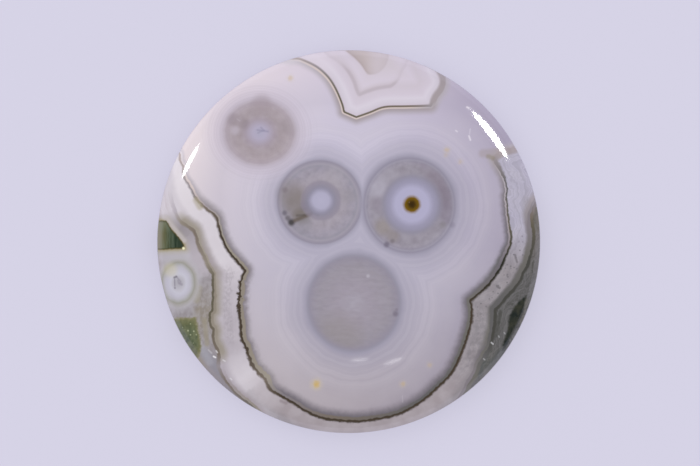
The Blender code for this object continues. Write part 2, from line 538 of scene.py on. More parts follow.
class Graph:
    """Short ways to add and link the nodes of one material or node group.

    Each node is added after the nodes that feed it, and no Map Range node clamps, so that the renderer
    can take the nodes in turn and keeps few values at a time.
    """

    def __init__(self, tree):
        self.tree = tree

    def add(self, kind, **settings):
        node = self.tree.nodes.new(kind)
        for name, value in settings.items():
            setattr(node, name, value)
        return node

    def feed(self, socket, value):
        if isinstance(value, bpy.types.NodeSocket):
            self.tree.links.new(value, socket)
        elif socket.type == "RGBA":
            socket.default_value = linear(value)
        else:
            socket.default_value = value

    def math(self, operation, *terms):
        node = self.add("ShaderNodeMath", operation=operation)
        for socket, term in zip(node.inputs, terms):
            self.feed(socket, term)
        return node.outputs[0]

    def times(self, first, *factors):
        for factor in factors:
            first = self.math("MULTIPLY", first, factor)
        return first

    def vector(self, operation, first, second):
        node = self.add("ShaderNodeVectorMath", operation=operation)
        self.feed(node.inputs[0], first)
        self.feed(node.inputs[1], second)
        return node.outputs["Value" if operation in ("DISTANCE", "DOT_PRODUCT") else "Vector"]

    def parts(self, vector):
        node = self.add("ShaderNodeSeparateXYZ")
        self.feed(node.inputs[0], vector)
        return node.outputs[0], node.outputs[1], node.outputs[2]

    def joined(self, parts):
        node = self.add("ShaderNodeCombineXYZ")
        for socket, part in zip(node.inputs, parts):
            self.feed(socket, part)
        return node.outputs[0]

    def number(self, name):
        return self.add("ShaderNodeAttribute", attribute_name=name).outputs["Fac"]

    def colour(self, name):
        return self.add("ShaderNodeAttribute", attribute_name=name).outputs["Color"]

    def triple(self, name):
        return self.add("ShaderNodeAttribute", attribute_name=name).outputs["Vector"]

    def span(self, value, start, end, first=0.0, last=1.0):
        """value's way from start to end, eased, as a number from first to last."""
        node = self.add("ShaderNodeMapRange", interpolation_type="SMOOTHSTEP", clamp=False)
        names = ("Value", "From Min", "From Max", "To Min", "To Max")
        for name, number in zip(names, (value, start, end, first, last)):
            self.feed(node.inputs[name], number)
        return node.outputs["Result"]

    def window(self, value, rise_start, rise_end, fall_start, fall_end):
        """1 between rise_end and fall_start, easing to 0 outside."""
        rise = self.span(value, rise_start, rise_end)
        fall = self.span(value, fall_start, fall_end, 1.0, 0.0)
        return self.times(rise, fall)

    def ramp(self, value, stops):
        """Colour and opacity read from stops of (place, colour, opacity) along value."""
        low, high = stops[0][0], stops[-1][0]
        spread = self.add("ShaderNodeMapRange", clamp=False)
        self.feed(spread.inputs["Value"], value)
        spread.inputs["From Min"].default_value = low
        spread.inputs["From Max"].default_value = high
        node = self.add("ShaderNodeValToRGB")
        self.feed(node.inputs["Fac"], spread.outputs["Result"])
        elements = node.color_ramp.elements
        while len(elements) < len(stops):
            elements.new(1.0)
        for element, (at, colour, *opacity) in zip(elements, stops):
            element.position = (at - low) / (high - low)
            element.color = linear(colour, *opacity)
        return node.outputs["Color"], node.outputs["Alpha"]

    def mix(self, share, under, over):
        node = self.add("ShaderNodeMix", data_type="RGBA")
        for socket, value in zip((node.inputs[0], node.inputs[6], node.inputs[7]), (share, under, over)):
            self.feed(socket, value)
        return node.outputs[2]

    def mix_numbers(self, share, under, over):
        node = self.add("ShaderNodeMix", data_type="FLOAT")
        for socket, value in zip((node.inputs[0], node.inputs[2], node.inputs[3]), (share, under, over)):
            self.feed(socket, value)
        return node.outputs[0]

    def overlay(self, under, value, stops, strength=1.0):
        """Stops along value laid over a colour, by their opacity."""
        colour, opacity = self.ramp(value, stops)
        return self.mix(self.times(opacity, strength), under, colour)

    def use(self, group, output, **inputs):
        node = self.add("ShaderNodeGroup", node_tree=group)
        for name, value in inputs.items():
            self.feed(node.inputs[name], value)
        return node.outputs[output]


FLOAT = "NodeSocketFloat"
VECTOR = "NodeSocketVector"
COLOUR = "NodeSocketColor"


def new_group(name, inputs, outputs):
    """An empty shader node group with named sockets, its inputs and its outputs."""
    tree = bpy.data.node_groups.new(name, "ShaderNodeTree")
    for socket_name, kind in inputs.items():
        tree.interface.new_socket(socket_name, in_out="INPUT", socket_type=kind)
    for socket_name, kind in outputs.items():
        tree.interface.new_socket(socket_name, in_out="OUTPUT", socket_type=kind)
    g = Graph(tree)
    return g, g.add("NodeGroupInput").outputs, g.add("NodeGroupOutput").inputs


def spot_group():
    """A round soft-edged mask: 1 within Radius of Centre, 0 past Radius plus Softness."""
    inputs = {"Place": VECTOR, "Centre": VECTOR, "Radius": FLOAT, "Softness": FLOAT}
    g, given, out = new_group("soft spot", inputs, {"Mask": FLOAT})
    distance = g.vector("DISTANCE", given["Place"], given["Centre"])
    edge = g.math("ADD", given["Radius"], given["Softness"])
    g.feed(out["Mask"], g.span(distance, given["Radius"], edge, 1.0, 0.0))
    return g.tree


def stroke_group():
    """A soft-edged mask along a line from From to To: 1 within Width of it, 0 past Width plus Softness."""
    inputs = {"Place": VECTOR, "From": VECTOR, "To": VECTOR, "Width": FLOAT, "Softness": FLOAT}
    g, given, out = new_group("soft stroke", inputs, {"Mask": FLOAT})
    run = g.vector("SUBTRACT", given["To"], given["From"])
    offset = g.vector("SUBTRACT", given["Place"], given["From"])
    share = g.math("DIVIDE", g.vector("DOT_PRODUCT", offset, run), g.vector("DOT_PRODUCT", run, run))
    share = g.math("MINIMUM", g.math("MAXIMUM", share, 0.0), 1.0)
    distance = g.vector("DISTANCE", offset, g.vector("MULTIPLY", run, g.joined([share] * 3)))
    edge = g.math("ADD", given["Width"], given["Softness"])
    g.feed(out["Mask"], g.span(distance, given["Width"], edge, 1.0, 0.0))
    return g.tree


def ring_group():
    """Uneven fine rings from 0 to 1 along Distance, about Width pixels apart."""
    g, given, out = new_group("uneven rings", {"Distance": FLOAT, "Width": FLOAT}, {"Value": FLOAT})
    along = g.math("DIVIDE", given["Distance"], given["Width"])
    total = 0.0
    for pace, start in ((4.4, 0.0), (7.3, 1.7), (2.1, 0.6)):
        wave = g.math("SINE", g.math("ADD", g.times(along, pace), start))
        total = g.math("ADD", wave, total)
    g.feed(out["Value"], g.span(total, -1.4, 1.4))
    return g.tree


def cloud_group():
    """Soft mottling from 0 to 1, in blots of about Size pixels, drawn out by Stretch."""
    inputs = {"Place": VECTOR, "Offset": VECTOR, "Stretch": VECTOR, "Size": FLOAT, "Detail": FLOAT}
    g, given, out = new_group("cloudy mottling", inputs, {"Value": FLOAT})
    mapping = g.add("ShaderNodeMapping")
    g.feed(mapping.inputs["Vector"], given["Place"])
    g.feed(mapping.inputs["Location"], given["Offset"])
    g.feed(mapping.inputs["Scale"], given["Stretch"])
    place = mapping.outputs[0]
    scale = g.math("DIVIDE", 1.0, given["Size"])
    noise = g.add("ShaderNodeTexNoise")
    g.feed(noise.inputs["Vector"], place)
    g.feed(noise.inputs["Scale"], scale)
    g.feed(noise.inputs["Detail"], given["Detail"])
    g.feed(out["Value"], g.span(noise.outputs["Fac"], 0.3, 0.7))
    return g.tree


def fleck_group():
    """Small scattered flecks: Share of the cells, Size pixels apart, hold one."""
    g, given, out = new_group("flecks", {"Place": VECTOR, "Size": FLOAT, "Share": FLOAT}, {"Mask": FLOAT})
    scale = g.math("DIVIDE", 1.0, given["Size"])
    cells = g.add("ShaderNodeTexVoronoi")
    g.feed(cells.inputs["Vector"], given["Place"])
    g.feed(cells.inputs["Scale"], scale)
    split = g.add("ShaderNodeSeparateColor")
    g.feed(split.inputs[0], cells.outputs["Color"])
    chosen = g.math("LESS_THAN", split.outputs[0], given["Share"])
    dot = g.span(cells.outputs["Distance"], 0.18, 0.42, 1.0, 0.0)
    g.feed(out["Mask"], g.times(dot, chosen))
    return g.tree


def ragged_group():
    """A distance made ragged by up to Amount pixels, in teeth of about Size pixels."""
    inputs = {"Distance": FLOAT, "Place": VECTOR, "Size": FLOAT, "Amount": FLOAT}
    g, given, out = new_group("ragged edge", inputs, {"Distance": FLOAT})
    scale = g.math("DIVIDE", 1.0, given["Size"])
    noise = g.add("ShaderNodeTexNoise")
    g.feed(noise.inputs["Vector"], given["Place"])
    g.feed(noise.inputs["Scale"], scale)
    noise.inputs["Detail"].default_value = 3.0
    swing = g.times(g.math("SUBTRACT", noise.outputs["Fac"], 0.5), given["Amount"], 2.0)
    g.feed(out["Distance"], g.math("ADD", swing, given["Distance"]))
    return g.tree


def orb_group():
    """Distance in pixels from an orb's centre, measured so that an oval of Stretch is round."""
    inputs = {"Place": VECTOR, "Centre": VECTOR, "Stretch": VECTOR}
    g, given, out = new_group("orb distance", inputs, {"Distance": FLOAT})
    offset = g.vector("SUBTRACT", given["Place"], given["Centre"])
    scaled = g.vector("MULTIPLY", offset, given["Stretch"])
    g.feed(out["Distance"], g.vector("DISTANCE", scaled, (0, 0, 0)))
    return g.tree


def seam_group():
    """A wall's dark line, filling and fading shade, laid over the colour under them."""
    inputs = {
        "Under": COLOUR, "Distance": FLOAT, "Widths": VECTOR, "Ends": VECTOR,
        "Line": COLOUR, "Filling": COLOUR, "Shade": COLOUR,
    }
    g, given, out = new_group("wall seam", inputs, {"Colour": COLOUR})
    offset, half, lead = g.parts(given["Widths"])
    filling_end, shade_end, _ = g.parts(given["Ends"])
    distance = given["Distance"]
    near = g.math("SUBTRACT", offset, half)
    far = g.math("ADD", offset, half)
    covered = g.span(distance, g.math("SUBTRACT", near, lead), near)
    on_line = g.span(distance, far, g.math("ADD", far, 0.9), 1.0, 0.0)
    on_filling = g.span(distance, filling_end, g.math("ADD", filling_end, 1.2), 1.0, 0.0)
    fading = g.span(distance, filling_end, shade_end, 1.0, 0.0)
    within = g.mix(on_filling, given["Shade"], given["Filling"])
    within = g.mix(on_line, within, given["Line"])
    opacity = g.times(covered, g.math("MAXIMUM", on_filling, fading))
    g.feed(out["Colour"], g.mix(opacity, given["Under"], within))
    return g.tree


SPOT = spot_group()
STROKE = stroke_group()
RINGS = ring_group()
CLOUD = cloud_group()
FLECK = fleck_group()
RAGGED = ragged_group()
ORB = orb_group()
SEAM = seam_group()


def draw_seam(g, under, distance, name):
    attributes = {
        "Widths": g.triple(name + "_widths"), "Ends": g.triple(name + "_ends"),
        "Line": g.colour(name + "_line"), "Filling": g.colour(name + "_filling"),
        "Shade": g.colour(name + "_shade"),
    }
    return g.use(SEAM, "Colour", Under=under, Distance=distance, **attributes)


def outer_side(g, distance, name):
    """The ground's colours, from near a wall to far out from it."""
    return g.mix(g.span(distance, -12.0, -20.0), g.colour(name + "_near"), g.colour(name + "_far"))


def ragged(g, place, name, size, amount):
    return g.use(RAGGED, "Distance", Distance=g.number(name), Place=place, Size=size, Amount=amount)


def ragged_wall(g, place):
    """The main wall's distance, with a fine unevenness, and with deep notches low on its left side."""
    x, y, _ = g.parts(place)
    notched = g.times(g.window(y, 276.0, 282.0, 308.0, 316.0), g.span(x, 250.0, 270.0, 1.0, 0.0))
    rough = g.times(g.window(y, 330.0, 350.0, 372.0, 390.0), g.span(x, 262.0, 290.0, 1.0, 0.0))
    amount = g.math("ADD", g.times(notched, 2.6), g.math("ADD", g.times(rough, 1.2), 1.5))
    return ragged(g, place, "main_wall", 4.5, amount)


def streaks(g, place, distance, across, along):
    """Streaks from 0 to 1 that run beside a wall, across pixels wide and along pixels long."""
    swing = g.times(g.math("SUBTRACT", cloud(g, place, along, detail=4.0), 0.5), 3.0 * across)
    return rings(g, g.math("ADD", distance, swing), across)


def rings(g, distance, width):
    return g.use(RINGS, "Value", Distance=distance, Width=width)


def cloud(g, place, size, stretch=(1, 1, 1), detail=3.0, offset=(0, 0, 0)):
    return g.use(CLOUD, "Value", Place=place, Offset=offset, Stretch=stretch, Size=size, Detail=detail)


def cloud_offset(g, place):
    """A small random push to all sides, which makes what is placed by it uneven."""
    noise = g.add("ShaderNodeTexNoise")
    g.feed(noise.inputs["Vector"], place)
    noise.inputs["Scale"].default_value = 0.35
    split = g.add("ShaderNodeSeparateColor")
    g.feed(split.inputs[0], noise.outputs["Color"])
    return g.joined([g.math("SUBTRACT", part, 0.5) for part in split.outputs])


def spot(g, place, x, y, radius, softness):
    return g.use(SPOT, "Mask", Place=place, Centre=(x, y, 0.0), Radius=radius, Softness=softness)


def dab(g, under, place, x, y, radius, softness, colour, strength, within=1.0):
    """A soft round dab of colour."""
    return g.mix(g.times(spot(g, place, x, y, radius, softness), strength, within), under, colour)


def stroke(g, under, place, x0, y0, x1, y1, width, softness, colour, strength):
    """A soft line of colour."""
    ends = {"From": (x0, y0, 0.0), "To": (x1, y1, 0.0)}
    mask = g.use(STROKE, "Mask", Place=place, Width=width, Softness=softness, **ends)
    return g.mix(g.times(mask, strength), under, colour)


def strokes(g, under, place, rows):
    for row in rows:
        under = stroke(g, under, place, *row)
    return under


def mottle(g, under, place, size, dark, light, strength, stretch=(1, 1, 1)):
    """Blots of a darker and of a paler colour."""
    colour = g.mix(g.times(cloud(g, place, size, stretch, 5.0), strength), under, dark)
    return g.mix(g.times(cloud(g, place, size, stretch, 5.0, (70, 30, 0)), strength), colour, light)


def dabs(g, under, place, rows, within=1.0):
    for row in rows:
        under = dab(g, under, place, *row, within)
    return under


# Orbs: centre, depth, radius, and how much wider than tall.
Orb = namedtuple("Orb", "x y depth radius stretch")
TOP_LEFT = Orb(259.7, 132.7, 0.0, 36.0, 1.10)
MID_LEFT = Orb(319.7, 202.2, 0.0, 41.2, 1.01)
RIGHT = Orb(409.4, 205.4, 0.0, 47.5, 0.965)
BOTTOM = Orb(354.0, 303.3, 0.0, 48.3, 0.967)
BACK_ORBS = [
    Orb(300.0, 150.0, 74.0, 34.0, 1.0),
    Orb(425.0, 262.0, 72.0, 40.0, 1.0),
    Orb(392.0, 138.0, 74.0, 24.0, 1.0),
]


def orb_distance(g, place, orb):
    """Pixels from an orb's centre, as if it were round, in all three directions."""
    wide, tall = 1 / math.sqrt(orb.stretch), math.sqrt(orb.stretch)
    centre = (orb.x, orb.y, orb.depth)
    return g.use(ORB, "Distance", Place=place, Centre=centre, Stretch=(wide, tall, ORB_SINKING))


def growth_bands(g, place, orbs):
    """Pixels outward from the nearest orb's edge."""
    edges = [g.math("SUBTRACT", orb_distance(g, place, orb), orb.radius) for orb in orbs]
    closest = edges[0]
    for edge in edges[1:]:
        closest = g.math("MINIMUM", closest, edge)
    return closest


def body(g, under, place):
    """The translucent chalcedony round the orbs: a slow change of tint, then growth bands round the orbs."""
    colour = g.colour("body_tint")
    haze = cloud(g, place, 44.0, detail=3.0)
    colour = g.mix(g.times(haze, 0.12), colour, (212, 205, 214))
    bands = growth_bands(g, place, (MID_LEFT, RIGHT, BOTTOM))
    bands = g.math("ADD", bands, g.times(g.math("SUBTRACT", cloud(g, place, 26.0, detail=3.0), 0.5), 2.4))
    colour = g.overlay(colour, bands, [
        (-1.0, HALO, 1.0), (2.0, HALO, 0.66), (6.0, HALO, 0.40), (12.5, HALO, 0.35), (15.0, HALO, 0.20),
        (23.0, HALO, 0.0), (25.0, PEARL, 0.0), (34.0, PEARL, 0.12), (42.0, PEARL, 0.0), (58.0, HALO, 0.12),
        (90.0, HALO, 0.0),
    ])
    fine = rings(g, bands, 2.3)
    broad = rings(g, g.math("ADD", bands, 60.0), 7.0)
    fade = g.window(bands, 3.0, 10.0, 20.0, 56.0)
    colour = g.mix(g.times(fine, fade, 0.07), colour, (140, 135, 160))
    return g.mix(g.times(broad, fade, 0.08), colour, (222, 216, 226))


def top_left_orb(g, under, place):
    distance = orb_distance(g, place, TOP_LEFT)
    colour = g.overlay(under, distance, [
        (0.0, (172, 168, 190), 1.0), (6.5, (176, 168, 190), 1.0), (14.0, (166, 154, 166), 1.0),
        (19.0, (164, 152, 158), 1.0), (26.0, (172, 160, 166), 1.0), (32.0, (178, 166, 176), 1.0),
        (36.0, (192, 182, 196), 0.85), (45.0, (204, 194, 210), 0.4), (56.0, (208, 200, 216), 0.0),
    ])
    fringe = g.window(distance, 10.0, 16.0, 30.0, 38.0)
    colour = g.mix(fringe, colour, mottle(g, colour, place, 8.0, (140, 128, 136), (188, 177, 188), 0.24))
    fine = rings(g, distance, 2.0)
    colour = g.mix(g.times(fine, g.window(distance, 20.0, 26.0, 44.0, 62.0), 0.10), colour, (150, 138, 152))
    colour = dabs(g, colour, place, [
        (233, 120, 2.0, 7.0, (146, 134, 142), 0.50),
        (235, 130.5, 1.5, 5.5, (188, 178, 192), 0.60),
        (244, 124, 2.0, 6.0, (144, 132, 140), 0.50),
        (262, 104, 5.0, 9.0, (156, 142, 150), 0.40),
        (287, 128, 3.0, 9.0, (154, 144, 150), 0.35),
    ])
    return strokes(g, colour, place, [
        (257.5, 130.0, 268.0, 131.5, 0.2, 1.6, (146, 142, 166), 0.55),
        (261.0, 127.5, 264.0, 130.5, 0.2, 1.4, (140, 136, 160), 0.45),
        (258.0, 133.0, 262.0, 131.0, 0.2, 1.4, (140, 136, 160), 0.35),
    ])


def mid_left_orb(g, under, place):
    distance = orb_distance(g, place, MID_LEFT)
    colour = g.overlay(under, distance, [
        (0.0, (158, 152, 164), 1.0), (24.0, (164, 156, 168), 1.0), (34.0, (156, 150, 166), 1.0),
        (36.5, (150, 146, 160), 1.0), (38.5, (160, 154, 168), 1.0), (41.6, (146, 140, 156), 0.9),
        (43.2, (162, 158, 176), 0.6), (46.0, (172, 168, 188), 0.0),
    ])
    inner = g.window(distance, 16.0, 20.0, 34.0, 40.0)
    colour = g.mix(inner, colour, mottle(g, colour, place, 6.5, (134, 128, 136), (178, 171, 184), 0.34))
    colour = dabs(g, colour, place, [
        (292, 194, 5.0, 15.0, (136, 127, 126), 0.60),
        (298, 206, 7.0, 14.0, (128, 120, 118), 0.62),
        (301, 216, 3.0, 9.0, (110, 102, 92), 0.60),
        (307, 206, 2.0, 7.0, (108, 102, 116), 0.60),
        (304, 224, 3.0, 11.0, (140, 137, 146), 0.45),
        (334, 178, 4.0, 14.0, (172, 165, 174), 0.40),
        (348, 196, 3.0, 9.0, (148, 143, 150), 0.40),
        (284.8, 190, 0.8, 4.0, (116, 104, 112), 0.45),
        (284.6, 213, 0.8, 3.2, (88, 83, 98), 0.60),
        (287.6, 218, 0.6, 3.6, (84, 78, 84), 0.60),
        (291.4, 222.4, 1.2, 4.2, (50, 46, 42), 0.85),
    ])
    colour = strokes(g, colour, place, [
        (295.0, 220.5, 311.0, 213.5, 0.5, 2.8, (98, 86, 76), 0.70),
        (297.0, 215.5, 306.0, 215.0, 0.3, 1.8, (92, 84, 82), 0.55),
        (306.0, 209.0, 318.0, 215.0, 0.4, 2.2, (112, 104, 110), 0.50),
    ])
    core = orb_distance(g, place, Orb(321.0, 200.6, 0.0, 12.0, 1.0))
    core = g.use(RAGGED, "Distance", Distance=core, Place=place, Size=7.0, Amount=0.8)
    return g.overlay(colour, core, [
        (0.0, (178, 174, 198), 1.0), (8.0, (174, 170, 194), 1.0), (12.0, (148, 144, 164), 1.0),
        (14.0, (140, 136, 154), 0.85), (19.0, (142, 134, 150), 0.65), (21.5, (152, 146, 158), 0.0),
    ])


def right_orb(g, under, place):
    distance = orb_distance(g, place, RIGHT)
    colour = g.overlay(under, distance, [
        (0.0, (152, 146, 160), 1.0), (38.0, (150, 144, 156), 1.0), (41.0, (154, 148, 162), 1.0),
        (43.0, (148, 142, 158), 1.0), (44.6, (156, 152, 168), 0.95), (46.2, (146, 140, 158), 0.85),
        (48.4, (160, 156, 174), 0.6), (52.0, (168, 164, 184), 0.0),
    ])
    ring = g.window(distance, 24.0, 30.0, 41.0, 47.0)
    colour = g.mix(ring, colour, mottle(g, colour, place, 7.5, (130, 121, 134), (176, 171, 184), 0.32))
    colour = dabs(g, colour, place, [
        (442, 196, 6.0, 14.0, (126, 115, 131), 0.62),
        (436, 178, 5.0, 12.0, (134, 123, 138), 0.52),
        (447, 213, 4.0, 11.0, (130, 120, 138), 0.48),
        (379, 188, 4.0, 12.0, (180, 175, 191), 0.60),
        (388, 174, 3.0, 11.0, (170, 165, 179), 0.40),
        (383, 227, 3.0, 10.0, (150, 140, 132), 0.55),
        (393, 236, 2.0, 8.0, (140, 130, 127), 0.55),
        (377, 205, 2.0, 8.0, (144, 135, 150), 0.50),
        (424, 165, 1.5, 6.0, (140, 129, 146), 0.50),
        (443, 225, 1.0, 4.5, (126, 121, 126), 0.50),
    ], ring)
    colour = dabs(g, colour, place, [
        (386.6, 244.6, 0.8, 3.6, (106, 99, 116), 0.70),
        (392.4, 241.0, 0.6, 3.0, (116, 108, 116), 0.60),
        (452.5, 225, 0.8, 3.8, (118, 109, 128), 0.30),
    ])
    iris = orb_distance(g, place, Orb(411.9, 204.4, 0.0, 20.0, 1.0))
    iris = g.use(RAGGED, "Distance", Distance=iris, Place=place, Size=4.0, Amount=0.7)
    colour = g.overlay(colour, iris, [
        (0.0, (176, 172, 200), 1.0), (16.5, (176, 172, 200), 1.0), (22.0, (156, 152, 176), 1.0),
        (25.5, (150, 146, 168), 0.95), (28.5, (144, 140, 158), 0.7), (33.0, (150, 144, 158), 0.0),
    ])
    colour = g.overlay(colour, iris, [
        (0.0, (52, 38, 10), 1.0), (2.5, (66, 46, 12), 1.0), (6.8, (118, 90, 20), 1.0),
        (8.8, (158, 146, 150), 0.8), (10.4, (172, 168, 194), 0.0),
    ])
    sparks = g.use(FLECK, "Mask", Place=place, Size=2.6, Share=0.45)
    return g.mix(g.times(sparks, g.span(iris, 1.0, 5.0, 0.5, 0.0)), colour, (178, 150, 120))


def bottom_orb(g, under, place):
    distance = orb_distance(g, place, BOTTOM)
    colour = g.overlay(under, distance, [
        (0.0, (168, 162, 176), 1.0), (16.0, (160, 152, 166), 1.0), (36.0, (154, 148, 160), 1.0),
        (45.0, (148, 142, 158), 1.0), (47.0, (150, 146, 162), 0.9), (50.0, (162, 158, 176), 0.5),
        (53.0, (168, 164, 182), 0.0),
    ])
    within = g.span(distance, 40.0, 48.0, 1.0, 0.0)
    fibres = (0.55, 1.4, 1.0)
    threads = mottle(g, colour, place, 5.0, (136, 127, 134), (172, 165, 176), 0.22, fibres)
    colour = g.mix(within, colour, threads)
    colour = dab(g, colour, place, 338, 338, 10.0, 26.0, (148, 140, 138), 0.40, within)
    return dabs(g, colour, place, [
        (395.4, 313.8, 0.8, 3.6, (110, 102, 118), 0.60),
        (396.6, 309.6, 0.4, 2.2, (124, 116, 130), 0.45),
        (368, 276, 0.4, 2.4, (196, 190, 204), 0.50),
        (383, 300, 1.0, 6.0, (164, 158, 170), 0.40),
    ])


def back_orbs(g, under, place):
    """Orbs that only the back cuts through."""
    colour = under
    for orb in BACK_ORBS:
        share = orb.radius / BOTTOM.radius
        distance = g.math("DIVIDE", orb_distance(g, place, orb), share)
        colour = g.overlay(colour, distance, [
            (0.0, (178, 172, 196), 1.0), (14.0, (176, 170, 194), 1.0), (18.0, (150, 143, 160), 1.0),
            (36.0, (148, 139, 149), 1.0), (44.0, (142, 134, 146), 1.0), (48.0, (166, 160, 180), 0.8),
            (54.0, (180, 174, 194), 0.0),
        ])
    _, _, depth = g.parts(place)
    return g.mix(g.span(depth, 20.0, 40.0), under, colour)


def yellow_dots(g, under, place):
    """Small soft yellow stains, each a pale glow with a darker heart."""
    dots = [
        (316.4, 384.1, 1.0), (402.9, 384.1, 0.38), (429.7, 365.0, 0.26), (290.3, 78.3, 0.38),
        (446.9, 149.7, 0.40), (460.3, 161.8, 0.26), (446.0, 155.0, 0.18),
    ]
    uneven = g.vector("ADD", place, g.vector("MULTIPLY", cloud_offset(g, place), (3.0, 3.0, 0.0)))
    rows = []
    for x, y, strength in dots:
        size = 0.5 + 0.5 * strength
        rows.append((x, y, 0.6 * size, 8.5 * size, (208, 192, 160), 0.60 * strength))
        rows.append((x, y, 0.6 * size, 4.6 * size, (202, 170, 100), 0.80 * strength))
    return dabs(g, under, uneven, rows)


def cap(g, under, place):
    """The white banded cap at the top, inside its own wall."""
    distance = g.number("cap_wall")
    colour, _ = g.ramp(distance, [
        (0.0, (204, 192, 205)), (4.0, (209, 201, 214)), (8.0, (216, 208, 221)), (12.0, (210, 200, 214)),
        (20.0, (206, 196, 208)), (27.0, (212, 202, 216)), (40.0, (208, 198, 208)),
    ])
    colour = dab(g, colour, place, 310, 52, 10.0, 30.0, (222, 212, 224), 0.7)
    vee_strength = g.math("ADD", g.window(g.number("cap_vee_along"), 0.15, 0.32, 0.70, 0.80), 0.3)
    colour = g.overlay(colour, g.number("cap_vee"), [
        (-3.6, (206, 195, 207), 0.0), (-1.4, (191, 180, 191), 1.0), (-0.2, (190, 179, 189), 1.0),
        (2.0, (200, 189, 200), 0.5), (5.0, (206, 196, 206), 0.0),
    ], vee_strength)
    x, _, _ = g.parts(place)
    colour = g.overlay(colour, g.number("cap_heart"), [
        (-0.6, (200, 189, 196), 0.0), (1.4, (180, 166, 168), 1.0), (3.5, (187, 174, 176), 1.0),
        (9.0, (195, 182, 184), 1.0),
    ], g.span(x, 362.0, 378.0, 1.0, 0.35))
    return g.mix(g.span(distance, -0.4, 0.4), under, colour)


def cap_seam(g, under, place):
    return draw_seam(g, under, g.times(g.number("cap_wall"), -1.0), "cap_wall")


def outside(g, under, place):
    """The white chalcedony outside the main wall, with its flecks. under is the body, which it frames."""
    wall = ragged_wall(g, place)
    colour = outer_side(g, wall, "main_wall")
    colour = g.mix(g.times(cloud(g, place, 14.0, detail=3.0), 0.14), colour, (230, 224, 232))
    x, y, _ = g.parts(place)
    leftward = g.span(x, 250.0, 300.0, 1.0, 0.0)
    rightward = g.span(x, 440.0, 470.0)
    level = g.window(y, 262.0, 274.0, 336.0, 350.0)
    speckled = g.times(level, g.window(wall, -18.0, -14.0, -9.0, -6.0), leftward)
    specks = cloud(g, place, 2.6, stretch=(1.2, 0.8, 1.0), detail=2.0)
    colour = g.mix(g.times(specks, speckled, 0.34), colour, (142, 134, 142))
    colour = g.mix(g.times(streaks(g, place, wall, 3.0, 22.0), rightward, 0.22), colour, (124, 121, 130))
    level = g.window(y, 222.0, 236.0, 300.0, 330.0)
    dusty = g.times(level, g.window(wall, -19.0, -13.0, -5.0, -2.0), rightward)
    grains = g.use(FLECK, "Mask", Place=place, Size=3.0, Share=0.42)
    colour = g.mix(g.times(grains, dusty, 0.5), colour, (94, 92, 98))
    level = g.window(y, 300.0, 320.0, 362.0, 385.0)
    grey = g.times(level, g.window(wall, -20.0, -14.0, -6.0, -2.0), rightward)
    colour = g.mix(g.times(cloud(g, place, 5.0, detail=5.0), grey, 0.35), colour, (108, 105, 110))
    colour = strokes(g, colour, place, [
        (515.0, 255.0, 517.0, 262.0, 0.3, 1.6, (96, 92, 96), 0.60),
        (521.5, 289.5, 524.5, 291.5, 0.4, 2.0, (96, 92, 96), 0.50),
        (497.0, 286.0, 499.5, 288.0, 0.4, 1.6, (92, 88, 92), 0.60),
        (281.0, 401.0, 286.0, 403.0, 0.4, 2.2, (140, 128, 132), 0.60),
        (182.5, 144.7, 183.0, 158.7, 0.3, 2.4, (214, 198, 198), 0.50),
    ])
    return g.mix(g.span(wall, -0.4, 0.4), colour, under)


def outside_only(g, under, over, width=0.4):
    """over where it lies outside the main wall, and under elsewhere."""
    return g.mix(g.span(g.number("main_wall"), -width, width), over, under)


def left_rim(g, under, place):
    """The mottled grey ground between the left contour and the rim, with its green and its small orb."""
    contour = ragged(g, place, "left_contour", 5.0, 1.3)
    colour = outer_side(g, contour, "left_contour")
    _, y, _ = g.parts(place)
    mottled = g.window(y, 256.0, 286.0, 340.0, 362.0)
    spread = mottle(g, colour, place, 5.0, (136, 130, 130), (194, 190, 198), 0.34, (1.2, 0.8, 1.0))
    colour = g.mix(mottled, colour, spread)
    banded = g.window(y, 150.0, 180.0, 206.0, 222.0)
    colour = g.mix(g.times(streaks(g, place, contour, 3.6, 60.0), banded, 0.30), colour, (188, 174, 180))
    colour = strokes(g, colour, place, [
        (204.5, 320.0, 207.0, 344.0, 0.8, 3.0, (154, 146, 128), 0.60),
        (198.5, 288.0, 196.0, 300.0, 1.0, 4.5, (150, 142, 112), 0.60),
        (198.0, 343.0, 210.0, 362.0, 1.0, 4.5, (188, 185, 190), 0.50),
        # Painted shade: a bluish-grey shadow along the lower left rim.
        (203.0, 352.0, 222.0, 372.0, 2.0, 6.0, (150, 150, 164), 0.50),
        (222.0, 372.0, 245.0, 398.0, 0.6, 2.6, (118, 106, 86), 0.55),
        (164.0, 256.0, 184.0, 256.5, 3.0, 7.0, (194, 191, 200), 0.60),
    ])
    colour = small_orb(g, colour, place)
    colour = wedge(g, colour, place)
    colour = green(g, colour, place)
    colour = g.mix(g.span(contour, -0.6, 0.6), colour, under)
    colour = draw_seam(g, colour, contour, "left_contour")
    # Painted glints: small white flecks where light catches pits and fine fractures low on the left rim.
    colour = strokes(g, colour, place, [
        (213.6, 356.4, 215.4, 357.4, 0.2, 1.2, (244, 242, 246), 0.80),
        (216.2, 350.8, 217.4, 352.6, 0.1, 1.1, (232, 230, 232), 0.60),
        (223.0, 360.0, 225.0, 361.2, 0.1, 1.1, (232, 230, 234), 0.55),
        (230.4, 378.4, 231.8, 379.6, 0.1, 1.1, (232, 230, 234), 0.50),
        (208.5, 350.0, 211.5, 353.0, 0.1, 1.3, (214, 212, 218), 0.40),
    ])
    return outside_only(g, under, colour)


